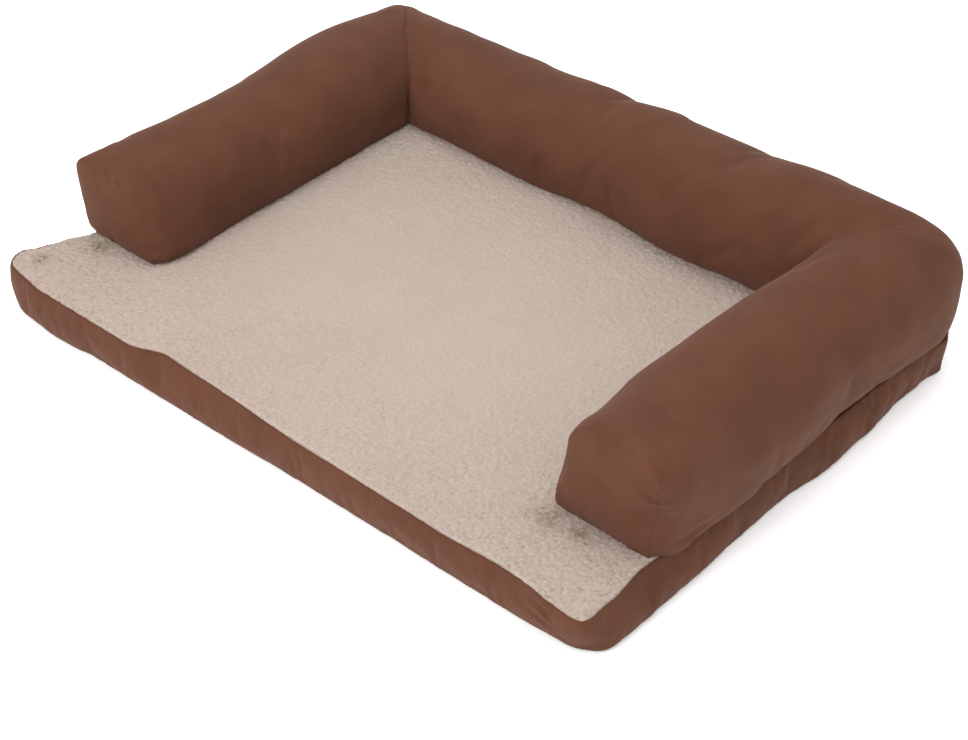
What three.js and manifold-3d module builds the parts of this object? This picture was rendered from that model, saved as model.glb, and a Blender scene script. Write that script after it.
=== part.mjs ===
// Pet cushion bed: a boxed foam pad with a fleece top, with a U-shaped bolster sewn on three of its
// sides and one long side left open as the front. A zip along the back of the pad's side wall lets
// the foam and the bolster filling in and out.
// Millimetres, +Z up, the open front towards -Y. The origin is on the floor, at the middle of the
// whole footprint.
import * as THREE from 'three';
import { mergeVertices } from 'three/addons/utils/BufferGeometryUtils.js';
import Module from 'manifold-3d';

const wasm = await Module();
wasm.setup();

// ---- Driving dimensions ----

// The pad.
const padWidth = 1067;
const padDepth = 762;
const padHeight = 70;
const padCornerRadius = 38;
const clothThickness = 1.2;
const fleeceThickness = 4;
const seamGap = 0.3; // left between pieces that touch

// The bolster: its section where it is gathered at a free end or a corner, and where it is fullest.
// The bow is how far the fullest section moves out over the pad's edge.
const armEndWidth = 162;
const armEndHeight = 124;
const cornerHeight = 136;
const armFullness = { width: 188, height: 148, bow: 10 };
const backFullness = { width: 168, height: 144, bow: 1 };
const armSetback = 137; // from the pad's front edge to the arm's end cap
const backReach = 122; // from the pad's back edge in to the back bolster's foot
const sectionSquareness = 3.2; // exponent of the section's superellipse; 2 is an ellipse

// The zip.
const zipLength = 900;
const tapeWidth = 15;
const tapeThickness = 0.6;
const coilThickness = 2;
const coilWidth = 2.3;
const coilSplit = 0.7; // from the zip's centre line to each coil
const stopLength = 2.5;
const sliderLength = 11;
const sliderWidth = 8.6;
const sliderPlate = 1.1;
const archRadius = 3.7;
const archThickness = 1.2;
const archWidth = 2.4;
const pullLength = 26;
const pullWidth = 7;
const pullThickness = 1.4;
const pullPlay = 0.5; // how loosely the pull hangs on the slider's arch

// The care label.
const labelWidth = 30;
const labelHeight = 42;
const labelThickness = 0.4;
const labelFromZip = 5;

// How finely curves are stepped.
const cornerSteps = 6;
const sectionSteps = 28;
const lengthSteps = 10;

// ---- Places worked out from them ----

const halfWidth = padWidth / 2;
const halfDepth = padDepth / 2;
const wallBottom = clothThickness + seamGap;
const wallTop = padHeight - fleeceThickness - seamGap;
const armAxisX = halfWidth - armEndWidth / 2;
const backAxisY = halfDepth - backReach + armEndWidth / 2;
const armFrontY = -halfDepth + armSetback;
const bolsterFloor = padHeight + seamGap;

const zipHeight = (wallBottom + wallTop) / 2;
const tapeOuterY = halfDepth - clothThickness - seamGap; // the tape's outer face, just inside the wall
const tapeInnerY = tapeOuterY - tapeThickness;
const coilInnerY = tapeOuterY + seamGap;
const coilOuterY = coilInnerY + coilThickness;
const sliderFaceY = coilOuterY + seamGap; // the inner face of the slider's outer plate
const slotHalfHeight = sliderWidth / 2 + seamGap; // half the opening between the two back strips
const chainHalf = zipLength / 2 - 3 * stopLength; // the coils end short of the tapes, at the stops
const sliderStartX = -chainHalf + seamGap; // the slider rests at the closed end of the chain
const sliderOuterY = sliderFaceY + sliderPlate;
const sliderInnerY = tapeInnerY - seamGap; // the outer face of the slider's inner plate
const foamBackY = sliderInnerY - sliderPlate - 3 * seamGap;
const pullAxisX = sliderStartX + sliderLength / 2;
const pullAxisY = sliderOuterY + pullThickness / 2 + pullPlay;

// ---- Colours ----

const colours = {
  suede: 0x68463a,
  fleece: 0xcbb8ac,
  underside: 0x43342c,
  foam: 0xe6dcc0,
  fibre: 0xf1eee8,
  tape: 0x4f372c,
  coil: 0x3b2820,
  slider: 0x6b5a48,
  label: 0xe9e5dc,
};

const bed = new THREE.Group();

function addPiece(name, geometry, colour, roughness = 0.95, metalness = 0) {
  const material = new THREE.MeshStandardMaterial({ color: colour, roughness, metalness });
  const mesh = new THREE.Mesh(geometry, material);
  mesh.name = name;
  bed.add(mesh);
  return mesh;
}

// ---- Shared shape helpers ----

// The pad's plan outline with its rounded corners, drawn in by inset and cut straight at the back.
function padOutline(inset, back) {
  const x = halfWidth - inset;
  const front = -halfDepth + inset;
  const r = padCornerRadius - inset;
  const shape = new THREE.Shape();
  shape.absarc(x - r, back - r, r, 0, Math.PI / 2);
  shape.absarc(-x + r, back - r, r, Math.PI / 2, Math.PI);
  shape.absarc(-x + r, front + r, r, Math.PI, 1.5 * Math.PI);
  shape.absarc(x - r, front + r, r, 1.5 * Math.PI, 2 * Math.PI);
  shape.closePath();
  return shape;
}

// A shape in the XY plane, raised from bottom to top.
function raise(shape, bottom, top) {
  const geometry = new THREE.ExtrudeGeometry(shape, {
    depth: top - bottom,
    bevelEnabled: false,
    curveSegments: cornerSteps,
  });
  geometry.translate(0, 0, bottom);
  return geometry;
}

// A box given by its lowest and highest corners.
function boxBetween(low, high) {
  const size = high.map((value, axis) => value - low[axis]);
  const geometry = new THREE.BoxGeometry(...size);
  geometry.translate(...low.map((value, axis) => value + size[axis] / 2));
  return geometry;
}

function toSolid(geometry) {
  const bare = geometry.clone();
  bare.deleteAttribute('normal');
  bare.deleteAttribute('uv');
  const merged = mergeVertices(bare, 1e-4);
  const mesh = new wasm.Mesh({
    numProp: 3,
    vertProperties: new Float32Array(merged.attributes.position.array),
    triVerts: new Uint32Array(merged.index.array),
  });
  return new wasm.Manifold(mesh);
}

function joined(geometries) {
  const solid = geometries.map(toSolid).reduce((whole, next) => whole.add(next));
  const mesh = solid.getMesh();
  const geometry = new THREE.BufferGeometry();
  geometry.setAttribute('position', new THREE.BufferAttribute(mesh.vertProperties, 3));
  geometry.setIndex(new THREE.BufferAttribute(mesh.triVerts, 1));
  geometry.computeVertexNormals();
  return geometry;
}

// ---- The pad ----

function addPad() {
  const panel = padOutline(0, halfDepth);
  addPiece('bottom_panel', raise(panel, 0, clothThickness), colours.underside);
  addPiece('top_panel', raise(panel, padHeight - fleeceThickness, padHeight), colours.fleece);
  // The foam slab fills the cover, but for the room that the zip takes at the back.
  const slab = padOutline(clothThickness + seamGap, foamBackY);
  addPiece('foam_core', raise(slab, wallBottom, wallTop), colours.foam);
  addPiece('front_gusset', frontGusset(), colours.suede);
  addPiece('left_gusset', sideGusset(-1), colours.suede);
  addPiece('right_gusset', sideGusset(1), colours.suede);
  addPiece('back_gusset_lower', backStrip(wallBottom, zipHeight - slotHalfHeight), colours.suede);
  addPiece('back_gusset_upper', backStrip(zipHeight + slotHalfHeight, wallTop), colours.suede);
}

function frontGusset() {
  const x = halfWidth - padCornerRadius - seamGap;
  return boxBetween([-x, -halfDepth, wallBottom], [x, -halfDepth + clothThickness, wallTop]);
}

// One side's wall: round the front corner, along the side, round the back corner and on to the zip.
function sideGusset(side) {
  const wallLine = (inset) => {
    const x = halfWidth - inset;
    const y = halfDepth - inset;
    const r = padCornerRadius - inset;
    const line = new THREE.Path();
    line.absarc(x - r, -y + r, r, 1.5 * Math.PI, 2 * Math.PI);
    line.absarc(x - r, y - r, r, 0, Math.PI / 2);
    line.lineTo(zipLength / 2 + seamGap, y);
    return line.getPoints(cornerSteps).map((point) => new THREE.Vector2(side * point.x, point.y));
  };
  const outline = [...wallLine(0), ...wallLine(clothThickness).reverse()];
  return raise(new THREE.Shape(outline), wallBottom, wallTop);
}

function backStrip(bottom, top) {
  const x = zipLength / 2;
  return boxBetween([-x, halfDepth - clothThickness, bottom], [x, halfDepth, top]);
}

// ---- The bolster ----

// How full the bolster is at a share of its length: none at its gathered ends, 1 at its middle.
const fullness = (along) => Math.sin(Math.PI * along);

// Half the section's width and height, and its bow, at a share of a length whose ends have the given
// heights and whose middle is as full as stated.
function sectionAt(along, startHeight, endHeight, middle) {
  const full = fullness(along);
  const endHeightHere = THREE.MathUtils.lerp(startHeight, endHeight, along);
  return {
    width: THREE.MathUtils.lerp(armEndWidth, middle.width, full) / 2,
    height: THREE.MathUtils.lerp(endHeightHere, middle.height, full) / 2,
    bow: middle.bow * full,
  };
}

// A rounded-square section point: across is outwards from the bolster's axis, up from its middle.
function sectionPoint(section, angle, share) {
  const power = 2 / sectionSquareness;
  const squared = (value) => Math.sign(value) * Math.abs(value) ** power;
  return {
    across: section.bow + share * section.width * squared(Math.cos(angle)),
    up: section.height * (1 + share * squared(Math.sin(angle))),
  };
}

// An arm runs straight back from its end cap to the mitre at the corner.
function armPlace(side, endInset) {
  return (along, angle, share) => {
    const section = sectionAt(along, armEndHeight, cornerHeight, armFullness);
    const { across, up } = sectionPoint(section, side * angle, share);
    const start = armFrontY + endInset;
    const mitre = backAxisY + across - seamGap;
    const y = THREE.MathUtils.lerp(start, mitre, along);
    return [side * (armAxisX + across), y, bolsterFloor + up];
  };
}

// The back bolster runs across, mitred at both ends.
function backPlace(along, angle, share) {
  const section = sectionAt(along, cornerHeight, cornerHeight, backFullness);
  const { across, up } = sectionPoint(section, -angle, share);
  const mitre = armAxisX + across;
  const x = THREE.MathUtils.lerp(-mitre, mitre, along);
  return [x, backAxisY + across, bolsterFloor + up];
}

// Takes a round form about Y, one unit in radius and length, to the bolster's shape.
function shapeBolster(geometry, place) {
  const position = geometry.attributes.position;
  for (let i = 0; i < position.count; i += 1) {
    const x = position.getX(i);
    const z = position.getZ(i);
    const share = Math.hypot(x, z);
    position.setXYZ(i, ...place(position.getY(i), Math.atan2(z, x), share));
  }
  geometry.computeVertexNormals();
  return geometry;
}

// The cloth tube: an inner and an outer wall, open at both ends.
function sleeve(place) {
  const inner = 1 - clothThickness / (armEndWidth / 2);
  const profile = [];
  for (let i = 0; i <= lengthSteps; i += 1) {
    profile.push(new THREE.Vector2(1, i / lengthSteps));
  }
  for (let i = lengthSteps; i >= 0; i -= 1) {
    profile.push(new THREE.Vector2(inner, i / lengthSteps));
  }
  profile.push(profile[0].clone());
  return shapeBolster(new THREE.LatheGeometry(profile, sectionSteps), place);
}

// The fibre filling: one solid length that fits inside its sleeve.
function filling(place) {
  const radius = 1 - (clothThickness + 2 * seamGap) / (armEndWidth / 2);
  const form = new THREE.CylinderGeometry(radius, radius, 1, sectionSteps, lengthSteps);
  form.translate(0, 0.5, 0);
  return shapeBolster(form, place);
}

// The panel that closes an arm's free end.
function endCap(side) {
  const section = sectionAt(0, armEndHeight, cornerHeight, armFullness);
  const outline = [];
  for (let i = 0; i < sectionSteps; i += 1) {
    const { across, up } = sectionPoint(section, (2 * Math.PI * i) / sectionSteps, 1);
    outline.push(new THREE.Vector2(across, up));
  }
  const geometry = new THREE.ExtrudeGeometry(new THREE.Shape(outline), {
    depth: clothThickness,
    bevelEnabled: false,
  });
  geometry.rotateX(Math.PI / 2);
  geometry.translate(side * armAxisX, armFrontY + clothThickness, bolsterFloor);
  return geometry;
}

function addBolster() {
  const sleeveInset = clothThickness + seamGap;
  const fillingInset = sleeveInset + seamGap;
  for (const [name, side] of [['left', -1], ['right', 1]]) {
    addPiece(`${name}_arm_sleeve`, sleeve(armPlace(side, sleeveInset)), colours.suede);
    addPiece(`${name}_arm_filling`, filling(armPlace(side, fillingInset)), colours.fibre);
    addPiece(`${name}_end_cap`, endCap(side), colours.suede);
  }
  addPiece('back_sleeve', sleeve(backPlace), colours.suede);
  addPiece('back_filling', filling(backPlace), colours.fibre);
}

// ---- The zip ----

// The two halves of the chain mirror each other about the zip's centre line: up is 1 or -1.
function zipBand(up, near, far, innerY, outerY, startX, endX) {
  const edges = [zipHeight + up * near, zipHeight + up * far].sort((a, b) => a - b);
  return boxBetween([startX, innerY, edges[0]], [endX, outerY, edges[1]]);
}

function zipStop(startX, near, far) {
  return boxBetween(
    [startX, coilInnerY, zipHeight + near],
    [startX + stopLength, coilOuterY, zipHeight + far],
  );
}

// The slider: an inner and an outer plate either side of the chain, tied by a post that passes
// between the coils, with flanges that hold the coils in and an arch for the pull.
function slider() {
  const reach = 0.2; // how far joined pieces reach into each other
  const half = sliderWidth / 2;
  const postHalf = coilSplit - seamGap;
  const coilEdge = coilSplit + coilWidth + seamGap;
  const block = (length, innerY, outerY, low, high) => boxBetween(
    [sliderStartX, innerY, zipHeight + low],
    [sliderStartX + length, outerY, zipHeight + high],
  );
  return joined([
    block(sliderLength, sliderFaceY, sliderOuterY, -half, half),
    block(sliderLength, sliderInnerY - sliderPlate, sliderInnerY, -half, half),
    block(sliderLength / 3, sliderInnerY - reach, sliderFaceY + reach, -postHalf, postHalf),
    block(sliderLength, coilInnerY, sliderFaceY + reach, -half, -coilEdge),
    block(sliderLength, coilInnerY, sliderFaceY + reach, coilEdge, half),
    arch(sliderOuterY - reach),
  ]);
}

// A half ring that stands on the slider's outer plate, open along Z for the pull's end bar.
function arch(footY) {
  const shape = new THREE.Shape();
  shape.absarc(0, 0, archRadius, 0, Math.PI);
  shape.absarc(0, 0, archRadius - archThickness, Math.PI, 0, true);
  shape.closePath();
  const geometry = new THREE.ExtrudeGeometry(shape, {
    depth: archWidth,
    bevelEnabled: false,
    curveSegments: 2 * cornerSteps,
  });
  geometry.translate(pullAxisX, footY, zipHeight - archWidth / 2);
  return geometry;
}

// The pull tab: a flat tongue whose end bar passes under the arch. It lies back over the chain.
function pullTab() {
  const bar = pullThickness / 2;
  const half = pullWidth / 2;
  const windowLength = archRadius + 2 * pullPlay;
  const windowHalf = archWidth / 2 + pullPlay;
  const shape = new THREE.Shape();
  shape.moveTo(-bar, -half);
  shape.lineTo(pullLength - half, -half);
  shape.absarc(pullLength - half, 0, half, -Math.PI / 2, Math.PI / 2);
  shape.lineTo(-bar, half);
  shape.closePath();
  const opening = new THREE.Path();
  opening.moveTo(bar, -windowHalf);
  opening.lineTo(bar, windowHalf);
  opening.lineTo(windowLength, windowHalf);
  opening.lineTo(windowLength, -windowHalf);
  opening.closePath();
  shape.holes.push(opening);
  const geometry = new THREE.ExtrudeGeometry(shape, {
    depth: pullThickness,
    bevelEnabled: false,
    curveSegments: cornerSteps,
  });
  geometry.translate(0, 0, -pullThickness / 2);
  geometry.rotateX(-Math.PI / 2);
  geometry.translate(pullAxisX, pullAxisY, zipHeight);
  return geometry;
}

function addZip() {
  const tapeEnd = zipLength / 2;
  const coilFar = coilSplit + coilWidth;
  for (const [name, up] of [['lower', -1], ['upper', 1]]) {
    const tape = zipBand(up, coilSplit, tapeWidth, tapeInnerY, tapeOuterY, -tapeEnd, tapeEnd);
    const coil = zipBand(up, coilSplit, coilFar, coilInnerY, coilOuterY, -chainHalf, chainHalf);
    const stopX = -chainHalf - seamGap - stopLength;
    const [near, far] = [up * coilSplit, up * coilFar].sort((a, b) => a - b);
    addPiece(`zip_tape_${name}`, tape, colours.tape);
    addPiece(`zip_coil_${name}`, coil, colours.coil, 0.5);
    addPiece(`zip_top_stop_${name}`, zipStop(stopX, near, far), colours.slider, 0.4, 0.8);
  }
  addPiece('zip_bottom_stop', zipStop(chainHalf + seamGap, -coilFar, coilFar), colours.slider, 0.4, 0.8);
  addPiece('zip_slider', slider(), colours.slider, 0.4, 0.8);
  addPiece('zip_pull', pullTab(), colours.slider, 0.4, 0.8);
}

// ---- The care label: a blank tab that hangs from the back seam beside the zip ----

function addCareLabel() {
  const inner = halfDepth + seamGap;
  const endX = -zipLength / 2 - labelFromZip;
  const label = boxBetween(
    [endX - labelWidth, inner, wallTop - labelHeight],
    [endX, inner + labelThickness, wallTop],
  );
  addPiece('care_label', label, colours.label, 0.8);
}

addPad();
addBolster();
addZip();
addCareLabel();

// The pieces are placed about the pad's middle; the origin is the middle of the whole footprint.
const footprint = new THREE.Box3().setFromObject(bed);
bed.position.y = -(footprint.min.y + footprint.max.y) / 2;
bed.updateMatrixWorld(true);

export default bed;
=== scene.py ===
# Pet cushion bed: the looks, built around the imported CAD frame. Metres, +Z up, open front towards -Y.
import math

import bmesh
import bpy
import numpy as np
from mathutils import Matrix, Vector
from mathutils.kdtree import KDTree


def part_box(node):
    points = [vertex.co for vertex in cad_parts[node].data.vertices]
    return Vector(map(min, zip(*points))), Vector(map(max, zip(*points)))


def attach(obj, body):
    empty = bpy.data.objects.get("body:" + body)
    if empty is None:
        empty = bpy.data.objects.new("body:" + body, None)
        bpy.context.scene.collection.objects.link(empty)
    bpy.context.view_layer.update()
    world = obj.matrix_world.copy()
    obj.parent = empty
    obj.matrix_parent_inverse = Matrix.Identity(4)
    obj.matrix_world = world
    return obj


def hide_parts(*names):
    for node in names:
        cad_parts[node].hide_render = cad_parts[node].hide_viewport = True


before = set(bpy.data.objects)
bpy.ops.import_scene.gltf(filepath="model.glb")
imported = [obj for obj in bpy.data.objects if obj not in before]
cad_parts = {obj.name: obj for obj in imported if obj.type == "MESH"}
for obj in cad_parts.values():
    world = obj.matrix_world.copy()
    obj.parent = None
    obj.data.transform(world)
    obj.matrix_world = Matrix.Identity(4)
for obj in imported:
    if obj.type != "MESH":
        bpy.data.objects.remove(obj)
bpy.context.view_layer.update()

# ---- Sizes, from the frame ----

MM = 0.001
PAD_LOW, PAD_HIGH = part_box("top_panel")
PAD_WIDTH = PAD_HIGH.x - PAD_LOW.x
PAD_HALF_X = PAD_WIDTH / 2
PAD_HALF_Y = (PAD_HIGH.y - PAD_LOW.y) / 2
PAD_MID_Y = (PAD_HIGH.y + PAD_LOW.y) / 2
PAD_TOP = PAD_HIGH.z
FLEECE_BASE = PAD_LOW.z
CORNER_RADIUS = PAD_HALF_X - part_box("front_gusset")[1].x
ZIP_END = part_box("back_gusset_lower")[1].x
LOWER_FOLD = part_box("back_gusset_lower")[1].z  # the walls' folded edges beside the zip
UPPER_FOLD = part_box("back_gusset_upper")[0].z

CAP_LOW, CAP_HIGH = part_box("right_end_cap")
ARM_AXIS_X = (CAP_LOW.x + CAP_HIGH.x) / 2
ARM_FRONT_Y = CAP_LOW.y
BOLSTER_FLOOR = CAP_LOW.z - 2 * MM
BACK_LOW, BACK_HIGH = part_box("back_sleeve")
BACK_AXIS_Y = (BACK_LOW.y + BACK_HIGH.y) / 2

HEM = 5 * MM  # turned in behind each seam

# ---- Shared helpers ----


def smooth(t):
    """0 to 1 with flat ends, for t from 0 to 1."""
    t = np.clip(t, 0, 1)
    return t * t * (3 - 2 * t)


def through(stations, x):
    """A soft curve through (place, value) stations, flat at each of them."""
    places, values = (np.array(column, float) for column in zip(*stations))
    x = np.clip(x, places[0], places[-1])
    i = np.clip(np.searchsorted(places, x, side="right") - 1, 0, len(places) - 2)
    share = smooth((x - places[i]) / (places[i + 1] - places[i]))
    return values[i] + (values[i + 1] - values[i]) * share


def fade(distance, reach):
    """1 where distance is 0, falling softly to nothing at a few times reach."""
    return np.exp(-((distance / reach) ** 2))


def scattered(cell, table):
    """An entry of a table for each cell of a grid, as if at random but the same each run."""
    pick = np.zeros(len(cell), np.int64)
    for column, prime in zip(cell.T, (73856093, 19349663, 83492791)):
        pick ^= column * prime
    return table[pick % len(table)]


def lattice_noise(points, size, seed):
    """Smooth random values from -1 to 1 that change over about size, the same each run."""
    table = np.random.default_rng(seed).uniform(-1, 1, 4096)
    cell = np.floor(points / size).astype(np.int64)
    part = smooth(points / size - cell)
    total = np.zeros(len(points))
    for corner in np.ndindex(2, 2, 2):
        weight = np.prod(np.where(corner, part, 1 - part), axis=1)
        total += scattered(cell + np.array(corner), table) * weight
    return total


def mesh_piece(name, points, faces, panels=None):
    """A smooth-shaded object from points and faces. Each face's panel number is its material index."""
    mesh = bpy.data.meshes.new(name)
    mesh.from_pydata(np.asarray(points).reshape(-1, 3).tolist(), [], [list(f) for f in faces])
    if panels is not None:
        for _ in range(max(panels) + 1):
            mesh.materials.append(None)
        mesh.polygons.foreach_set("material_index", panels)
    mesh.polygons.foreach_set("use_smooth", [True] * len(mesh.polygons))
    mesh.update()
    piece = bpy.data.objects.new(name, mesh)
    bpy.context.scene.collection.objects.link(piece)
    return piece


def points_of(mesh):
    points = np.zeros(len(mesh.vertices) * 3)
    mesh.vertices.foreach_get("co", points)
    return points.reshape(-1, 3)


def normals_of(mesh):
    normals = np.zeros(len(mesh.vertices) * 3)
    mesh.vertex_normals.foreach_get("vector", normals)
    return normals.reshape(-1, 3)


def set_points(mesh, points):
    mesh.vertices.foreach_set("co", np.asarray(points).ravel())
    mesh.update()


def push(piece, amounts):
    """Moves each point along its normal."""
    set_points(piece.data, points_of(piece.data) + normals_of(piece.data) * amounts[:, None])


def subdivide(piece):
    """Applies one level of subdivision surface."""
    modifier = piece.modifiers.new("smooth", "SUBSURF")
    modifier.levels = modifier.render_levels = 1
    shaped = piece.evaluated_get(bpy.context.evaluated_depsgraph_get())
    mesh = bpy.data.meshes.new_from_object(shaped)
    piece.modifiers.clear()
    piece.data = mesh


def distances_along(line):
    """How far along a line each of its points is."""
    return np.concatenate([[0], np.cumsum(np.linalg.norm(np.diff(line, axis=0), axis=1))])


def nearest_on(line, points):
    """Each point's distance to a line of points, and the number of the line's nearest point."""
    tree = KDTree(len(line))
    for i, place in enumerate(line):
        tree.insert(place, i)
    tree.balance()
    found = [tree.find(point)[1:] for point in points]
    index, distance = (np.array(column) for column in zip(*found))
    return distance, index


def grid_faces(rows, columns, turned=False):
    """Faces of a grid of points numbered row by row. Turned faces look the other way."""
    faces = []
    for j in range(rows - 1):
        for i in range(columns - 1):
            a, b = j * columns + i, (j + 1) * columns + i
            faces.append((a, b, b + 1, a + 1) if turned else (a, a + 1, b + 1, b))
    return faces


def ring_faces(rings, sides):
    """Faces of a tube of closed rings, its points numbered ring by ring."""
    faces = []
    for i in range(rings - 1):
        a, b = i * sides, (i + 1) * sides
        for k in range(sides):
            after = (k + 1) % sides
            faces.append((a + k, a + after, b + after, b + k))
    return faces


def soften(piece, shares, times):
    """Evens the surface out, each point by its own share from 0 to 1 of the way at each step."""
    points = points_of(piece.data)
    ends = np.array([tuple(edge.vertices) for edge in piece.data.edges])
    neighbours = np.bincount(ends.ravel(), minlength=len(points))[:, None]
    for _ in range(times):
        total = np.zeros_like(points)
        np.add.at(total, ends[:, 0], points[ends[:, 1]])
        np.add.at(total, ends[:, 1], points[ends[:, 0]])
        points += shares[:, None] * (total / neighbours - points)
    set_points(piece.data, points)


CLOTH_FRAMES = 20


def add_cloth(piece, held, pressure, growth):
    """Puts a cloth simulation on a piece, held by a vertex group to the nearest tenth."""
    group = piece.vertex_groups.new(name="held")
    levels = np.round(held, 1)
    for level in np.unique(levels):
        if level > 0:
            group.add(np.flatnonzero(levels == level).tolist(), float(level), "REPLACE")
    modifier = piece.modifiers.new("cloth", "CLOTH")
    cloth = modifier.settings
    cloth.quality = 5
    cloth.mass = 0.3
    cloth.tension_stiffness = 15
    cloth.compression_stiffness = 15
    cloth.shear_stiffness = 5
    cloth.bending_stiffness = 0.3
    cloth.use_pressure = True
    cloth.uniform_pressure_force = pressure
    cloth.shrink_min = -growth
    cloth.vertex_group_mass = group.name
    cloth.effector_weights.gravity = 0
    modifier.collision_settings.use_collision = False
    modifier.point_cache.frame_start = 1
    modifier.point_cache.frame_end = CLOTH_FRAMES
    return modifier, group


def inflate(piece, held, pressure, most, growth):
    """Swells cloth by simulation. held is each point's hold, from 0 to 1; growth is spare cloth as a
    share of its length; no point moves as far as most."""
    start = points_of(piece.data)
    modifier, group = add_cloth(piece, held, pressure, growth)
    for number in range(1, CLOTH_FRAMES + 1):
        bpy.context.scene.frame_set(number)
    shaped = piece.evaluated_get(bpy.context.evaluated_depsgraph_get())
    moved = points_of(shaped.data) - start
    piece.modifiers.remove(modifier)
    piece.vertex_groups.remove(group)
    bpy.context.scene.frame_set(1)
    length = np.linalg.norm(moved, axis=1, keepdims=True)
    share = most * np.tanh(length / most) / np.maximum(length, 1e-9)
    set_points(piece.data, start + moved * share)


def border_of(faces):
    """The edges that only one face uses, each in its face's direction."""
    uses = {}
    for face in faces:
        for a, b in zip(face, face[1:] + face[:1]):
            uses.setdefault(frozenset((a, b)), []).append((a, b))
    return [found[0] for found in uses.values() if len(found) == 1]


def cut_panel(form, panel, name):
    """One panel of a form as its own piece, with its raw edge turned in behind the seam."""
    points, normals = points_of(form.data), normals_of(form.data)
    faces = [tuple(f.vertices) for f in form.data.polygons if f.material_index == panel]
    used = {}
    for face in faces:
        for corner in face:
            used.setdefault(corner, len(used))
    border = border_of(faces)
    kept = list(used)
    turned = {}
    for a, _ in border:
        turned[a] = len(kept) + len(turned)
    new_points = np.concatenate([
        points[kept],
        np.array([points[i] - normals[i] * HEM for i in turned]).reshape(-1, 3),
    ])
    new_faces = [[used[i] for i in face] for face in faces]
    for a, b in border:
        if b in turned:
            new_faces.append([used[b], used[a], turned[a], turned[b]])
    return mesh_piece(name, new_points, new_faces)


def finish_piece(piece, material, replaced=(), body="bed"):
    piece.data.materials.clear()
    piece.data.materials.append(material)
    if replaced:
        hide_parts(*replaced)
    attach(piece, body)


# ---- Camera, light and floor ----


def aim(thing, target, roll=0.0):
    direction = Vector(target) - thing.location
    turn = direction.to_track_quat("-Z", "Y").to_matrix().to_4x4()
    thing.rotation_euler = (turn @ Matrix.Rotation(roll, 4, "Z")).to_euler()


def add_camera():
    azimuth = math.radians(42.98)
    elevation = math.radians(38.31)
    distance = 3.022 * PAD_WIDTH
    target = Vector((0.1035, -0.0887, 0.05)) * PAD_WIDTH + Vector((0, PAD_MID_Y, 0))
    back = Vector((
        math.sin(azimuth) * math.cos(elevation),
        -math.cos(azimuth) * math.cos(elevation),
        math.sin(elevation),
    ))
    camera = bpy.data.objects.new("camera", bpy.data.cameras.new("camera"))
    bpy.context.scene.collection.objects.link(camera)
    camera.data.lens = 88.88
    camera.data.sensor_width = 36
    camera.location = target + back * distance
    aim(camera, target, math.radians(-0.56))
    bpy.context.scene.camera = camera


def add_light(name, place, size, power):
    light = bpy.data.objects.new(name, bpy.data.lights.new(name, "AREA"))
    bpy.context.scene.collection.objects.link(light)
    light.data.shape = "DISK"
    light.data.size = size
    light.data.energy = power
    light.location = place
    aim(light, (0, 0, 0.1))


def add_studio():
    scene = bpy.context.scene
    scene.view_settings.view_transform = "Standard"
    world = bpy.data.worlds.new("studio")
    world.use_nodes = True
    world.node_tree.nodes["Background"].inputs["Color"].default_value = (1, 1, 1, 1)
    world.node_tree.nodes["Background"].inputs["Strength"].default_value = 0.9
    scene.world = world
    add_light("key", (-0.1, -2.8, 2.2), 2.2, 62)
    add_light("top", (0.3, 0.2, 3.2), 2.6, 36)
    reach = 30
    drop = 0.5 * MM
    corners = [(x * reach, y * reach, -drop) for x, y in ((-1, -1), (1, -1), (1, 1), (-1, 1))]
    floor = mesh_piece("floor", corners, [(0, 1, 2, 3)])
    paint = bpy.data.materials.new("floor_paint")
    paint.use_nodes = True
    surface = paint.node_tree.nodes["Principled BSDF"]
    surface.inputs["Base Color"].default_value = (0.95, 0.95, 0.95, 1)
    surface.inputs["Roughness"].default_value = 0.9
    surface.inputs["Emission Color"].default_value = (1, 1, 1, 1)
    surface.inputs["Emission Strength"].default_value = 0.28
    floor.data.materials.append(paint)


# ---- Materials ----


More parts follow.
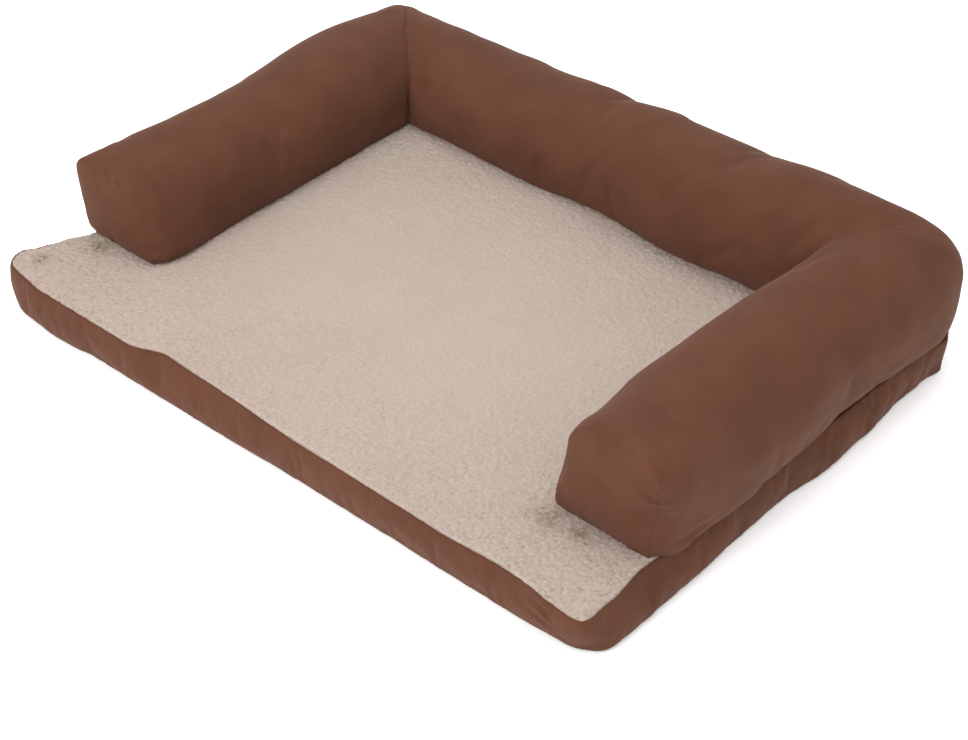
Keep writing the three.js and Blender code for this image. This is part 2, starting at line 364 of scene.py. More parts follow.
class Paint:
    """A principled material whose nodes read the piece's own coordinates."""

    def __init__(self, name, roughness=0.9, sheen=0.0, metallic=0.0, specular=0.15):
        self.material = bpy.data.materials.new(name)
        self.material.use_nodes = True
        self.tree = self.material.node_tree
        self.surface = self.tree.nodes["Principled BSDF"]
        self.surface.inputs["Roughness"].default_value = roughness
        self.surface.inputs["Metallic"].default_value = metallic
        self.surface.inputs["Specular IOR Level"].default_value = specular
        self.surface.inputs["Sheen Weight"].default_value = sheen
        self.surface.inputs["Sheen Roughness"].default_value = 0.5
        self.place = self.tree.nodes.new("ShaderNodeTexCoord").outputs["Object"]
        self.normal = None

    def node(self, kind, *links, **values):
        node = self.tree.nodes.new(kind)
        for key, value in values.items():
            setattr(node, key, value)
        for socket, source in links:
            if isinstance(source, bpy.types.NodeSocket):
                self.tree.links.new(source, node.inputs[socket])
            else:
                node.inputs[socket].default_value = source
        return node

    def noise(self, size, detail=2.0, stretch=None):
        """Noise whose features are about size metres across."""
        place = self.place
        if stretch:
            place = self.node("ShaderNodeMapping", ("Vector", place), ("Scale", stretch)).outputs[0]
        links = (("Vector", place), ("Scale", 1 / size), ("Detail", detail))
        return self.node("ShaderNodeTexNoise", *links).outputs["Fac"]

    def cells(self, size):
        """Distance to the middle of the nearest of many cells about size metres across."""
        links = (("Vector", self.place), ("Scale", 1 / size), ("Randomness", 1.0))
        return self.node("ShaderNodeTexVoronoi", *links).outputs["Distance"]

    def waves(self, size, axis):
        links = (("Vector", self.place), ("Scale", 1 / size / 3.14), ("Distortion", 0.4))
        return self.node("ShaderNodeTexWave", *links, bands_direction=axis).outputs["Fac"]

    def attribute(self, name):
        return self.node("ShaderNodeAttribute", attribute_name=name).outputs["Fac"]

    def ramp(self, source, *stops):
        """Colours, or grey values, at places from 0 to 1 along a source."""
        node = self.node("ShaderNodeValToRGB", ("Fac", source))
        ramp = node.color_ramp
        while len(ramp.elements) < len(stops):
            ramp.elements.new(0.5)
        for element, (place, colour) in zip(ramp.elements, stops):
            element.position = place
            element.color = (*colour, 1) if isinstance(colour, tuple) else (colour, colour, colour, 1)
        return node.outputs["Color"]

    def mix(self, share, first, second, how="MIX"):
        node = self.tree.nodes.new("ShaderNodeMix")
        node.data_type = "RGBA"
        node.blend_type = how
        for number, source in ((0, share), (6, first), (7, second)):
            socket = node.inputs[number]
            if isinstance(source, bpy.types.NodeSocket):
                self.tree.links.new(source, socket)
            elif isinstance(source, tuple):
                socket.default_value = (*source, 1)
            else:
                socket.default_value = source
        return node.outputs[2]

    def colour(self, source):
        self.tree.links.new(source, self.surface.inputs["Base Color"])

    def rough(self, source):
        self.tree.links.new(source, self.surface.inputs["Roughness"])

    def bump(self, height, depth, strength=1.0):
        """Adds relief of about depth metres over what is there already."""
        links = (("Height", height), ("Distance", depth), ("Strength", strength))
        node = self.node("ShaderNodeBump", *links)
        if self.normal:
            self.tree.links.new(self.normal, node.inputs["Normal"])
        self.normal = node.outputs["Normal"]
        self.tree.links.new(self.normal, self.surface.inputs["Normal"])


SUEDE_DARK, SUEDE_LIGHT = (0.096, 0.036, 0.020), (0.118, 0.045, 0.0245)
FLEECE_PINK, FLEECE_CREAM = (0.44, 0.345, 0.295), (0.44, 0.365, 0.31)
# Painted shade between the fleece's curls and on their sides, multiplied into its colour.
PAINTED_GAP_SHADE, PAINTED_SIDE_SHADE = (0.46, 0.40, 0.35), (0.92, 0.90, 0.89)
MATTED_PILE = (0.19, 0.15, 0.085)
COIL_DARK, COIL_LIGHT = (0.045, 0.024, 0.016), (0.06, 0.034, 0.023)
BRASS_DARK, BRASS_LIGHT = (0.16, 0.11, 0.065), (0.23, 0.165, 0.10)


def microsuede():
    """Short brushed nap: fine grain, soft clouds where the nap lies another way, and a matt sheen."""
    paint = Paint("microsuede", sheen=0.1)
    paint.surface.inputs["Sheen Tint"].default_value = (0.9, 0.62, 0.5, 1)
    clouds = paint.ramp(paint.noise(70 * MM, 3), (0.3, SUEDE_DARK), (0.7, SUEDE_LIGHT))
    grain = paint.ramp(paint.noise(1.6 * MM, 3), (0.25, 0.80), (0.75, 1.0))
    paint.colour(paint.mix(1.0, clouds, grain, "MULTIPLY"))
    paint.rough(paint.ramp(paint.noise(30 * MM), (0.3, 0.82), (0.7, 0.96)))
    paint.bump(paint.noise(9 * MM, 2), 0.5 * MM, 0.5)
    paint.bump(paint.noise(0.9 * MM, 3), 0.12 * MM, 0.8)
    return paint.material


def fleece():
    """Short curly pile with a few matted patches, and painted shade: dark between the curls, slight on
    their sides, none at their tips.
    """
    paint = Paint("fleece", roughness=0.95, sheen=0.3)
    paint.surface.inputs["Sheen Tint"].default_value = (1.0, 0.93, 0.88, 1)
    tone = paint.ramp(paint.noise(120 * MM, 2), (0.35, FLEECE_PINK), (0.65, FLEECE_CREAM))
    # Painted shade: the pile attribute darkens the colour deep between the curls and slightly on their
    # sides.
    depth = paint.ramp(paint.attribute("pile"), (0.0, PAINTED_GAP_SHADE), (0.4, PAINTED_SIDE_SHADE), (1.0, 1.0))
    strands = paint.ramp(paint.noise(5 * MM, 2), (0.38, 0.15), (0.55, 1.0))
    clumps = paint.mix(1.0, paint.attribute("matted"), strands, "MULTIPLY")
    worn = paint.mix(clumps, tone, MATTED_PILE)
    fibres = paint.ramp(paint.noise(1.3 * MM, 3), (0.3, 0.86), (0.7, 1.0))
    paint.colour(paint.mix(1.0, paint.mix(1.0, worn, depth, "MULTIPLY"), fibres, "MULTIPLY"))
    paint.bump(paint.cells(3.2 * MM), 1.2 * MM, 0.45)
    paint.bump(paint.noise(1.1 * MM, 3), 0.5 * MM, 0.6)
    return paint.material


def woven(name, dark, light, thread, second_axis="Z"):
    """Plain weave: crossed threads of the given width, along X and a second axis."""
    paint = Paint(name, roughness=0.85, sheen=0.1)
    across = paint.waves(thread, "X")
    along = paint.waves(thread, second_axis)
    weave = paint.mix(0.5, across, along)
    clouds = paint.ramp(paint.noise(40 * MM), (0.3, dark), (0.7, light))
    paint.colour(paint.mix(1.0, clouds, paint.ramp(weave, (0.2, 0.75), (0.8, 1.0)), "MULTIPLY"))
    paint.bump(weave, 0.25 * MM, 0.7)
    return paint.material


def coil_nylon():
    paint = Paint("coil_nylon", roughness=0.4, specular=0.5)
    paint.colour(paint.ramp(paint.noise(25 * MM), (0.3, COIL_DARK), (0.7, COIL_LIGHT)))
    paint.rough(paint.ramp(paint.noise(4 * MM), (0.3, 0.34), (0.7, 0.5)))
    paint.bump(paint.noise(0.6 * MM), 0.05 * MM, 0.5)
    return paint.material


def zip_metal():
    """Antique brass paint, a little brighter in places, with fine scratches."""
    paint = Paint("zip_metal", roughness=0.4, metallic=0.85, specular=0.5)
    paint.colour(paint.ramp(paint.noise(1.5 * MM, 3), (0.35, BRASS_DARK), (0.75, BRASS_LIGHT)))
    paint.rough(paint.ramp(paint.noise(2 * MM, 3), (0.3, 0.38), (0.7, 0.5)))
    paint.bump(paint.noise(0.8 * MM, 3, stretch=(1, 1, 6)), 0.05 * MM, 0.5)
    return paint.material


# ---- The bolster: one cloth form, swelled with its filling, then cut at its seams ----

SECTION_COUNT = 80
RING_STEP = 7.5 * MM
SEAM_STEP = 3 * MM
CAP_RINGS = 16
CAP_BULGE = 12 * MM
BOLSTER_HALF = 80 * MM  # about half its width
TOP_BOXINESS = 2.7  # exponents of the section's superellipse; 2 is an ellipse
BOTTOM_BOXINESS = 14
LEAN_PIVOT = 0.3  # share of the height that stays in place where a section leans outwards

# The foot of an arm's front end stands forwards by this much. That fades out at this height, and at
# this share of the arm's length.
FOOT_FORWARD = 4 * MM
FOOT_HEIGHT = 120 * MM
FOOT_SHARE = 0.12

LEFT_ARM, BACK, RIGHT_ARM, LEFT_CAP, RIGHT_CAP = range(5)

# Sizes in millimetres at shares of each length, before the filling swells it. An arm runs from its
# cap to the corner, the back from left to right. Inner is towards the bed's middle.
LEFT_CORNER_HEIGHT = 122
RIGHT_CORNER_HEIGHT = 155
SHAPES = {
    LEFT_ARM: {
        "height": [(0, 125), (0.2, 128), (0.45, 126), (0.7, 136), (1, LEFT_CORNER_HEIGHT)],
        "inner": [(0, 62), (0.045, 79), (0.1, 84), (0.3, 86), (0.7, 86), (1, 82)],
        "outer": [(0, 76), (0.3, 84), (0.7, 88), (1, 80)],
        "lean": [(0, 23), (0.35, 0), (1, 0)],
    },
    BACK: {
        "height": [
            (0, LEFT_CORNER_HEIGHT), (0.035, 112), (0.08, 113), (0.14, 116), (0.3, 119), (0.45, 132),
            (0.56, 143), (0.68, 146), (0.82, 161), (0.92, 164), (1, RIGHT_CORNER_HEIGHT),
        ],
        "inner": [(0, 84), (0.3, 87), (0.5, 74), (0.68, 86), (0.85, 77), (1, 77)],
        "outer": [(0, 80), (0.5, 78), (1, 80)],
        "lean": [(0, 0), (1, 0)],
    },
    RIGHT_ARM: {
        "height": [(0, 154), (0.12, 149), (0.3, 147), (0.6, 149), (0.85, 150), (1, RIGHT_CORNER_HEIGHT)],
        "inner": [(0, 77), (0.06, 82), (0.35, 90), (0.7, 89), (1, 80)],
        "outer": [(0, 75), (0.07, 90), (0.3, 94), (0.42, 95), (0.56, 88), (0.85, 88), (1, 81)],
        "lean": [(0, 22), (0.3, 0), (1, 0)],
    },
}

# How far the bolster's outer side sags below the pad's top, in millimetres, at places in
# millimetres from the pad's middle: along Y on the arms, along X on the back.
RIGHT_SAG = [(-259, 10), (-210, 14), (-100, 12), (-40, 4), (90, 1), (170, 1), (230, 2), (400, 3)]
LEFT_SAG = [(-259, 0), (-180, 8), (0, 4), (150, 10), (400, 8)]
BACK_SAG = [(-533, 8), (-300, 3), (-50, 9), (200, 4), (533, 10)]

# Gathered points: X, Y from the pad's middle, Z, reach and depth in millimetres, and number of folds.
PINCHES = [
    (-446, -253, 188, 10, 5.5, 3), (-413, -258, 178, 10, 7.0, 4), (-417, -262, 152, 9, 6.5, 3),
    (-519, -250, 192, 12, 2.0, 3), (403, -252, 203, 13, 3.0, 3), (533, -246, 163, 14, 5.0, 3),
    (-455, 300, 205, 16, 2.5, 3),
]

# Folds in the bolster: a line of places, then width and depth, in millimetres.
BOLSTER_CREASES = [
    ([(-425, -258, 84), (-391, -256, 76), (-370, -238, 74)], 3, 2.8),
    ([(534, -248, 178), (535, -247, 163), (534, -248, 146)], 3, 4.0),
    ([(510, -262, 186), (523, -256, 175), (536, -246, 163)], 3.5, 3.2),
    ([(528, -249, 158), (529, -249, 115), (524, -248, 76)], 3, 2.8),
    ([(542, -232, 84), (546, -190, 86), (546, -130, 92)], 5, 3.0),
    ([(536, 120, 92), (538, 200, 94), (538, 270, 92), (534, 350, 86)], 6, 3.5),
    ([(392, 175, 190), (405, 225, 214), (415, 262, 218)], 9, 2.5),
    ([(330, 238, 150), (352, 268, 196), (372, 310, 219)], 9, 2.5),
    ([(-352, 262, 110), (-330, 262, 165), (-322, 285, 190)], 8, 1.8),
]

# Each seam from the left cap to the right one: its groove, its gathers and how far they run, in
# millimetres, and their seed.
SEAM_PUCKERS = [(0.5, 0.9, 16, 20), (1.8, 0.9, 14, 21), (0.3, 0.6, 18, 22), (0.5, 0.9, 16, 23)]

# The panel, name, replaced CAD nodes and fill of each piece of the bolster.
BOLSTER_PARTS = (
    (LEFT_ARM, "left_arm_cover", ("left_arm_sleeve", "left_arm_filling"), 0.75),
    (BACK, "back_cover", ("back_sleeve", "back_filling"), 0.75),
    (RIGHT_ARM, "right_arm_cover", ("right_arm_sleeve", "right_arm_filling"), 0.85),
    (LEFT_CAP, "left_cap_cover", ("left_end_cap",), 0.75),
    (RIGHT_CAP, "right_cap_cover", ("right_end_cap",), 0.85),
)


def section_at(panel, t):
    """A closed section as (across, up) points at even distances, starting at the outer side."""
    size = {key: through(stations, t) * MM for key, stations in SHAPES[panel].items()}
    squarer = {LEFT_ARM: 1.6, BACK: 0, RIGHT_ARM: 1.3}[panel] * (1 - smooth(t / 0.25))
    turn = np.linspace(0, 2 * np.pi, 20 * SECTION_COUNT + 1)
    c, s = np.cos(turn), np.sin(turn)
    power = 2 / np.where(s < 0, BOTTOM_BOXINESS, TOP_BOXINESS + squarer)
    up = (1 + np.sign(s) * np.abs(s) ** power) / 2
    across = np.where(c > 0, size["outer"], size["inner"]) * np.sign(c) * np.abs(c) ** power
    across = across + size["lean"] * (up - LEAN_PIVOT)
    up = up * size["height"]
    along = np.concatenate([[0], np.cumsum(np.hypot(np.diff(across), np.diff(up)))])
    at = np.linspace(0, along[-1], SECTION_COUNT + 1)[:-1]
    return np.interp(at, along, across), np.interp(at, along, up)


def ring_places(length):
    """Shares of a length, evenly spaced but close together beside the seams at its ends."""
    count = round((length - 2 * SEAM_STEP) / RING_STEP)
    between = np.linspace(SEAM_STEP, length - SEAM_STEP, count + 1)
    return np.concatenate([[0], between, [length]]) / length


def arm_rings(side, panel):
    """An arm's rings from its cap to the mitre. side is -1 for the left arm and 1 for the right."""
    rings = []
    for t in ring_places(BACK_AXIS_Y - ARM_FRONT_Y):
        across, up = section_at(panel, t)
        y = ARM_FRONT_Y + (BACK_AXIS_Y + across - ARM_FRONT_Y) * t
        y = y - FOOT_FORWARD * (1 - smooth(up / FOOT_HEIGHT)) * (1 - smooth(t / FOOT_SHARE))
        rings.append(np.stack([side * (ARM_AXIS_X + across), y, BOLSTER_FLOOR + up], axis=1))
    return rings


def back_rings():
    """The back's rings from left to right, between the two mitres."""
    rings = []
    for t in ring_places(2 * ARM_AXIS_X)[1:-1]:
        across, up = section_at(BACK, t)
        x = (2 * t - 1) * (ARM_AXIS_X + across)
        rings.append(np.stack([x, BACK_AXIS_Y + across, BOLSTER_FLOOR + up], axis=1))
    return rings


def bolster_rings():
    """The rings from the left cap round to the right cap, and the panel that each belongs to."""
    left, back, right = arm_rings(-1, LEFT_ARM), back_rings(), arm_rings(1, RIGHT_ARM)[::-1]
    owners = [LEFT_ARM] * len(left) + [BACK] * len(back) + [RIGHT_ARM] * len(right)
    return [round_corners(ring) for ring in left + back + right], owners


def round_corners(points):
    """Rounds the two outer corners in plan."""
    share_up = (points[:, 2] - BOLSTER_FLOOR) / (RIGHT_CORNER_HEIGHT * MM)
    roundness = np.where(points[:, 0] < 0, 0.5, 0.5 - 0.25 * smooth(share_up))
    a = np.clip((np.abs(points[:, 0]) - ARM_AXIS_X) / BOLSTER_HALF, 0, 1.3)
    b = np.clip((points[:, 1] - BACK_AXIS_Y) / BOLSTER_HALF, 0, 1.3)
    points = points.copy()
    points[:, 0] -= np.sign(points[:, 0]) * BOLSTER_HALF * a * (1 - np.sqrt(1 - roundness * b**2 / 2))
    points[:, 1] -= BOLSTER_HALF * b * (1 - np.sqrt(1 - roundness * a**2 / 2))
    return points


def bolster_form():
    """The closed cloth form, and its four seam lines as lists of point numbers."""
    rings, owners = bolster_rings()
    n = SECTION_COUNT
    faces, panels = ring_faces(len(rings), n), []
    for owner, following in zip(owners, owners[1:]):
        panels += [BACK if BACK in (owner, following) else owner] * n
    points = list(np.concatenate(rings))
    last = len(rings) - 1
    for panel, ring_number in ((LEFT_CAP, 0), (RIGHT_CAP, last)):
        close_end(points, faces, panels, rings[ring_number], ring_number * n, panel)
    first_back = owners.index(BACK)
    seam_rings = [0, first_back - 1, first_back + owners.count(BACK), last]
    seams = [[ring * n + k for k in range(n)] for ring in seam_rings]
    return mesh_piece("bolster_form", np.array(points), faces, panels), seams


def close_end(points, faces, panels, ring, first, panel):
    """Adds an end cap that bulges forwards."""
    n = SECTION_COUNT
    edge = [first + k for k in range(n)]
    middle = ring.mean(axis=0)
    shares = [1 - SEAM_STEP / BOLSTER_HALF] + [1 - step / CAP_RINGS for step in range(1, CAP_RINGS)]
    for share in shares:
        forward = np.array([0, CAP_BULGE * (1 - share**2), 0])
        new = [len(points) + k for k in range(n)]
        points.extend(middle + (ring - middle) * share - forward)
        for k in range(n):
            after = (k + 1) % n
            face = (edge[k], new[k], new[after], edge[after])
            faces.append(face if panel == LEFT_CAP else face[::-1])
            panels.append(panel)
        edge = new
    points.append(middle - np.array([0, CAP_BULGE, 0]))
    for k in range(n):
        face = (edge[k], len(points) - 1, edge[(k + 1) % n])
        faces.append(face if panel == LEFT_CAP else face[::-1])
        panels.append(panel)


def pucker_seam(piece, line, depth, gather, reach, seed):
    """Draws a seam in to a groove, with small gathers that run off it."""
    points = points_of(piece.data)
    distance, index = nearest_on(line, points)
    along = distances_along(line)[index]
    place = np.stack([along, np.zeros(len(along)), np.zeros(len(along))], axis=1)
    gathers = lattice_noise(place, 11 * MM, seed) + 0.6 * lattice_noise(place, 24 * MM, seed + 1)
    groove = -depth * fade(distance, 3.2 * MM)
    near = np.exp(-distance / reach) * (1 - 0.6 * fade(distance, 2 * MM))
    push(piece, groove + gather * near * gathers)


def pinch(piece, centre, reach, depth, folds):
    """A gathered point: a dimple with creases that run out from it."""
    points, normals = points_of(piece.data), normals_of(piece.data)
    away = points - np.array(centre)
    distance = np.linalg.norm(away, axis=1)
    nearest = normals[distance.argmin()]
    side = np.cross(nearest, (0, 0, 1))
    side /= max(np.linalg.norm(side), 1e-6)
    angle = np.arctan2(away @ np.cross(nearest, side), away @ side)
    ridges = np.cos(folds * angle + 1.7 * np.sin(2 * angle))
    rays = smooth(distance / (0.25 * reach)) * fade(distance, reach) * ridges
    push(piece, -depth * fade(distance, 0.35 * reach) + 0.45 * depth * rays)


def crease(piece, line, width, depth):
    """A valley between low ridges, along a line of places in millimetres from the pad's middle."""
    places = np.array([(x * MM, y * MM + PAD_MID_Y, z * MM) for x, y, z in line])
    fine = np.concatenate([
        a + (b - a) * np.linspace(0, 1, 25)[:, None] for a, b in zip(places[:-1], places[1:])
    ])
    distance, index = nearest_on(fine, points_of(piece.data))
    share = index / (len(fine) - 1)
    strength = np.sin(np.pi * (0.12 + 0.76 * share)) ** 1.5
    valley = fade(distance, width)
    ridge = fade(distance - 2.1 * width, 0.9 * width)
    push(piece, depth * strength * (0.55 * ridge - valley))


def sag(piece):
    """Lets the outer side hang over the pad's edge, by its own amount from place to place."""
    points = points_of(piece.data)
    x, y, z = points[:, 0], points[:, 1] - PAD_MID_Y, points[:, 2] - BOLSTER_FLOOR
    low = smooth(1 - z / (50 * MM))
    beside = smooth((np.abs(x) - PAD_HALF_X + 24 * MM) / (22 * MM))
    behind = smooth((y - PAD_HALF_Y + 24 * MM) / (22 * MM))
    at_side = np.where(x > 0, through(RIGHT_SAG, y / MM), through(LEFT_SAG, y / MM))
    drop = np.maximum(beside, behind) * np.where(beside > behind, at_side, through(BACK_SAG, x / MM))
    points[:, 2] -= MM * drop * low
    points[:, 0] += 0.35 * MM * drop * low * np.where(beside > behind, np.sign(x), 0)
    set_points(piece.data, points)


def soften_corners(form, mitres):
    """Rounds the outer peak of the left corner, and the top and outer rim of the right one."""
    points = points_of(form.data)
    high = smooth((points[:, 2] - BOLSTER_FLOOR - 50 * MM) / (70 * MM))
    outside = np.maximum(np.abs(points[:, 0]) - ARM_AXIS_X, points[:, 1] - BACK_AXIS_Y)
    near_left, near_right = (nearest_on(mitre, points)[0] for mitre in mitres)
    left = fade(near_left, 12 * MM) * smooth(outside / (40 * MM))
    top = smooth((outside + 60 * MM) / (50 * MM)) * (1 - smooth((outside - 25 * MM) / (35 * MM)))
    right = fade(near_right, 45 * MM) * high * top
    rim = fade(near_right, 18 * MM) * smooth((outside - 30 * MM) / (30 * MM))
    soften(form, np.maximum(0.5 * np.maximum(left, rim), right), 40)


def add_bolster(material):
    form, seams = bolster_form()
    height = points_of(form.data)[:, 2]
    held = np.where(height < BOLSTER_FLOOR + 2 * MM, 1.0, 0.0)
    inflate(form, held, pressure=5, most=18 * MM, growth=0.015)
    soften_corners(form, [points_of(form.data)[seam] for seam in seams[1:3]])
    lines = [points_of(form.data)[seam + seam[:1]] for seam in seams]
    subdivide(form)
    points = points_of(form.data)
    lumps = 2.2 * MM * lattice_noise(points, 110 * MM, 5) + 0.9 * MM * lattice_noise(points, 45 * MM, 6)
    low = smooth((points[:, 2] - BOLSTER_FLOOR) / (30 * MM))
    push(form, lumps * low)
    sag(form)
    for line, (depth, gather, reach, seed) in zip(lines, SEAM_PUCKERS):
        pucker_seam(form, line, depth * MM, gather * MM, reach * MM, seed)
    for x, y, z, reach, depth, folds in PINCHES:
        pinch(form, (x * MM, y * MM + PAD_MID_Y, z * MM), reach * MM, depth * MM, folds)
    for line, width, depth in BOLSTER_CREASES:
        crease(form, line, width * MM, depth * MM)
    for panel, name, replaced, fill in BOLSTER_PARTS:
        piece = cut_panel(form, panel, name)
        finish_piece(piece, material, replaced)
    bpy.data.objects.remove(form)


# ---- The pad: wavy walls, fleece top and plain underside ----

WALL_STEP = 5.5 * MM
WALL_ROWS = 13
SEAM_ALLOWANCE = 6 * MM
WALL_BOTTOM = 1.5 * MM
WALL_TOP = PAD_TOP - 3 * MM

# Tucks in the pad's walls, as the bolster's folds above.
WALL_CREASES = [
    ([(-326, -389, 52), (-318, -391, 30), (-312, -391, 16)], 3, 1.6),
    ([(-200, -390, 66), (-203, -391, 46)], 3, 1.6),
    ([(-160, -390, 62), (-150, -391, 42), (-137, -390, 22)], 4, 2.2),
    ([(50, -388, 62), (60, -389, 38)], 3.5, 1.3),
    ([(268, -388, 50), (262, -388, 22)], 3.5, 1.2),
    ([(448, -389, 62), (480, -389, 52), (520, -380, 34)], 4, 2.6),
    ([(436, -390, 44), (470, -390, 36), (512, -384, 20)], 4, 2.0),
    ([(537, 184, 66), (540, 190, 54), (541, 198, 40)], 3.5, 4.5),
    ([(541, -90, 62), (542, -96, 34)], 4, 1.4),
    ([(542, 80, 46), (543, 96, 20)], 5, 1.8),
]

# How far the seams stray outwards from the pad's straight outline, in millimetres, at places in
# millimetres from the pad's middle: along X on the front, along Y on the sides.
FRONT_TOP = [
    (-533, 2), (-459, 13), (-282, 11), (-216, -8), (-146, -6), (53, 1), (300, 2), (398, -3), (533, 8),
]
FRONT_BOTTOM = [(-533, 11), (-426, 18), (-350, 11), (-142, 8), (47, 3), (226, 1), (394, 0), (533, -6)]
RIGHT_TOP = [(-381, 7), (-330, 4), (-262, -4), (-200, -1), (200, 0), (320, 2), (381, 14)]
RIGHT_BOTTOM = [
    (-381, 12), (-324, 16), (-164, 12), (-79, 7), (12, 4), (96, 12), (187, 8), (290, -1), (381, -4),
]
LEFT_TOP = [(-381, 17), (-350, 24), (-325, 11), (-297, 0), (-250, -19), (-150, -14), (100, 0), (381, 0)]
LEFT_BOTTOM = [(-381, 27), (-300, 20), (-150, 4), (60, 6), (220, 1), (381, 3)]
TOP_EDGES = (FRONT_TOP, RIGHT_TOP, LEFT_TOP)
BOTTOM_EDGES = (FRONT_BOTTOM, RIGHT_BOTTOM, LEFT_BOTTOM)


def pad_outline(step, start):
    """Points and outward normals at even distances round the pad, anticlockwise seen from above,
    from a distance left of the middle of the back edge to the same distance right of it."""
    x, y = PAD_HALF_X - CORNER_RADIUS, PAD_HALF_Y - CORNER_RADIUS
    points, normals = [np.array([0, PAD_HALF_Y])], [np.array([0, 1])]
    for centre_x, centre_y, first in ((-x, y, 90), (-x, -y, 180), (x, -y, 270), (x, y, 0)):
        for angle in np.radians(np.linspace(first, first + 90, 25)):
            normal = np.array([np.cos(angle), np.sin(angle)])
            points.append(np.array([centre_x, centre_y]) + CORNER_RADIUS * normal)
            normals.append(normal)
    points, normals = np.array(points + points[:1]), np.array(normals + normals[:1])
    along = distances_along(points)
    at = np.linspace(start, along[-1] - start, round((along[-1] - 2 * start) / step) + 1)
    places, outward = (
        np.stack([np.interp(at, along, values[:, k]) for k in (0, 1)], axis=1)
        for values in (points, normals)
    )
    return places, outward / np.linalg.norm(outward, axis=1, keepdims=True)


def stray(points, normals, edges):
    """Moves an outline out by what its seams stray on each side; the back stays straight."""
    front, right, left = edges
    x, y = points[:, 0] / MM, points[:, 1] / MM
    at_side = np.where(normals[:, 0] > 0, through(right, y), through(left, y))
    at_front = np.where(normals[:, 1] < 0, through(front, x), 0)
    return points + MM * normals * np.stack([at_side, at_front], axis=1)


def pad_grid(xs, ys, radius, edges, edge_reach):
    """Points of a grid that is bent to the pad's outline, with rounded corners."""
    x, y = (values.ravel() for values in np.meshgrid(xs, ys))
    a = np.clip((np.abs(x) - PAD_HALF_X + radius) / radius, 0, 1)
    b = np.clip((np.abs(y) - PAD_HALF_Y + radius) / radius, 0, 1)
    round_x = radius * a * (1 - np.sqrt(1 - b**2 / 2)) * np.sign(x)
    round_y = radius * b * (1 - np.sqrt(1 - a**2 / 2)) * np.sign(y)
    to_side = smooth(1 - (PAD_HALF_X - np.abs(x)) / edge_reach) * np.sign(x)
    to_front = -smooth(1 - (PAD_HALF_Y + y) / edge_reach)
    outward = np.stack([to_side, to_front], axis=1)
    from_edges = np.array([PAD_HALF_X, PAD_HALF_Y]) - np.abs(np.stack([x, y], axis=1))
    near_corner = np.clip(1 - from_edges / CORNER_RADIUS, 0, 1)
    outward /= np.maximum(np.linalg.norm(near_corner, axis=1, keepdims=True), 1)
    outline = stray(np.stack([x, y], axis=1), outward, edges)
    return outline - np.stack([round_x, round_y], axis=1)


def at_height(plan, height):
    """Points at one height, from places measured from the pad's middle."""
    return np.column_stack([plan[:, 0], plan[:, 1] + PAD_MID_Y, np.full(len(plan), height)])


def near_back(y, back_edge):
    """0 along the pad's sides, rising to 1 beside its back edge."""
    return smooth((y - back_edge + 60 * MM) / (50 * MM))


LEFT_WALL, FRONT_WALL, RIGHT_WALL = range(3)


def wall_form():
    """The side walls as one band, from the zip's left end round the front to its right end."""
    points, normals = pad_outline(WALL_STEP, ZIP_END)
    corner = (2 * normals[:, 0] * normals[:, 1])[:, None] ** 2
    is_back = near_back(points[:, 1], PAD_HALF_Y)[:, None]
    top = stray(points, normals, TOP_EDGES) + normals * 9 * corner * MM
    spread = 16 * corner * is_back - 2 * (1 - is_back)
    bottom = stray(points, normals, BOTTOM_EDGES) + normals * spread * MM
    rows = []
    for share in np.linspace(0, 1, WALL_ROWS):
        bulge = 5.5 * MM * math.sin(math.pi * share) ** 0.7 * (1 - is_back)
        plan = bottom + (top - bottom) * smooth(share) + normals * bulge
        height = WALL_BOTTOM + (WALL_TOP - WALL_BOTTOM) * share
        rows.append(at_height(plan, height))
    is_front = (np.abs(points[:, 0]) < PAD_HALF_X - CORNER_RADIUS) & (points[:, 1] < 0)
    owners = np.where(points[:-1, 0] < 0, LEFT_WALL, RIGHT_WALL)
    owners[is_front[:-1] & is_front[1:]] = FRONT_WALL
    panels = owners.tolist() * (WALL_ROWS - 1)
    faces = grid_faces(WALL_ROWS, len(points))
    form = mesh_piece("wall_form", np.concatenate(rows), faces, panels)
    row_held = np.zeros(WALL_ROWS)
    row_held[[0, -1]] = 1
    held = np.maximum(row_held[:, None], is_back[:, 0])
    held[:, [0, -1]] = 1
    return form, held.ravel(), rows[0], rows[-1]


def add_walls(material):
    form, held, bottom_line, top_line = wall_form()
    inflate(form, held, pressure=6, most=9 * MM, growth=0.02)
    subdivide(form)
    points = points_of(form.data)
    is_back = near_back(points[:, 1], PAD_HIGH.y)
    lumps = 1.6 * MM * lattice_noise(points, 55 * MM, 31)
    push(form, lumps * smooth((points[:, 2] - WALL_BOTTOM) / (15 * MM)) * (1 - is_back))
    pucker_seam(form, top_line, 1.2 * MM, 0.8 * MM, 11 * MM, 41)
    pucker_seam(form, bottom_line, 1.0 * MM, 0.7 * MM, 12 * MM, 43)
    for line, width, depth in WALL_CREASES:
        crease(form, line, width * MM, depth * MM)
    side = 2 * PAD_HALF_Y + 2 * (PAD_HALF_X - ZIP_END) + 2 * SEAM_ALLOWANCE
    front = 2 * (PAD_HALF_X - CORNER_RADIUS) + 2 * SEAM_ALLOWANCE
    for panel, name, node, length in (
        (LEFT_WALL, "left_wall", "left_gusset", side),
        (FRONT_WALL, "front_wall", "front_gusset", front),
        (RIGHT_WALL, "right_wall", "right_gusset", side),
    ):
        piece = cut_panel(form, panel, name)
        finish_piece(piece, material, (node,))
    bpy.data.objects.remove(form)


